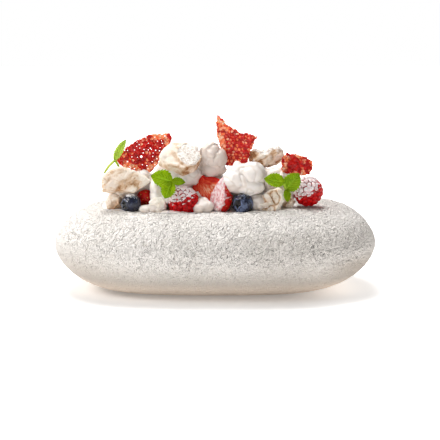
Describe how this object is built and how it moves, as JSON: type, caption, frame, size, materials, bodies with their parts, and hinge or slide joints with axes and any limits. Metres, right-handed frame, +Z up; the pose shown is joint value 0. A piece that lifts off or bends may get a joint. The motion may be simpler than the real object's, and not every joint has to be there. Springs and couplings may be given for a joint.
{
  "type": "pavlova dessert in a bowl",
  "caption": "Rough white pebble-shaped bowl heaped with whipped cream, broken meringue, berries, cut strawberry, mint and lacy red sugar shards.",
  "frame": {"origin": "centre of the bowl's flat foot, on the table", "axes": "+X along the bowl's length, -Y towards its front, +Z up"},
  "size_m": [0.2182, 0.1238, 0.118],
  "materials": {
    "bowl": "matt white unglazed porcelain with a rough hammered skin",
    "cream": "whipped cream, soft satin",
    "meringue": "dry baked meringue, powdery, lightly browned inside",
    "sugar_lace": "glossy red sugar lace",
    "raspberry": "fresh raspberry dusted with icing sugar",
    "blueberry": "blueberry skin with a waxy bloom",
    "strawberry": "cut strawberry, moist flesh and glossy skin",
    "mint": "fresh mint leaf"
  },
  "bodies": {
    "root": {"blueberry_back": "blueberry", "blueberry_back_right": "blueberry", "blueberry_left": "blueberry", "blueberry_right": "blueberry", "bowl": "bowl", "cream_back_left": "cream", "cream_back_right": "cream", "cream_dollop": "cream", "cream_filling": "cream", "cream_front_left": "cream", "cream_peak": "cream", "cream_right": "cream", "cream_under_slab": "cream", "meringue_back_left": "meringue", "meringue_back_right": "meringue", "meringue_corner": "meringue", "meringue_front_left": "meringue", "meringue_front_right": "meringue", "meringue_left": "meringue", "meringue_right": "meringue", "meringue_slab": "meringue", "meringue_small": "meringue", "mint_far_left": "mint", "mint_left": "mint", "mint_right": "mint", "raspberry_back": "raspberry", "raspberry_left": "raspberry", "raspberry_right": "raspberry", "strawberry_back": "strawberry", "strawberry_cut": "strawberry", "strawberry_half": "strawberry", "strawberry_slice": "strawberry", "tuile_left": "sugar_lace", "tuile_right": "sugar_lace", "tuile_tall": "sugar_lace"}
  },
  "joints": []
}
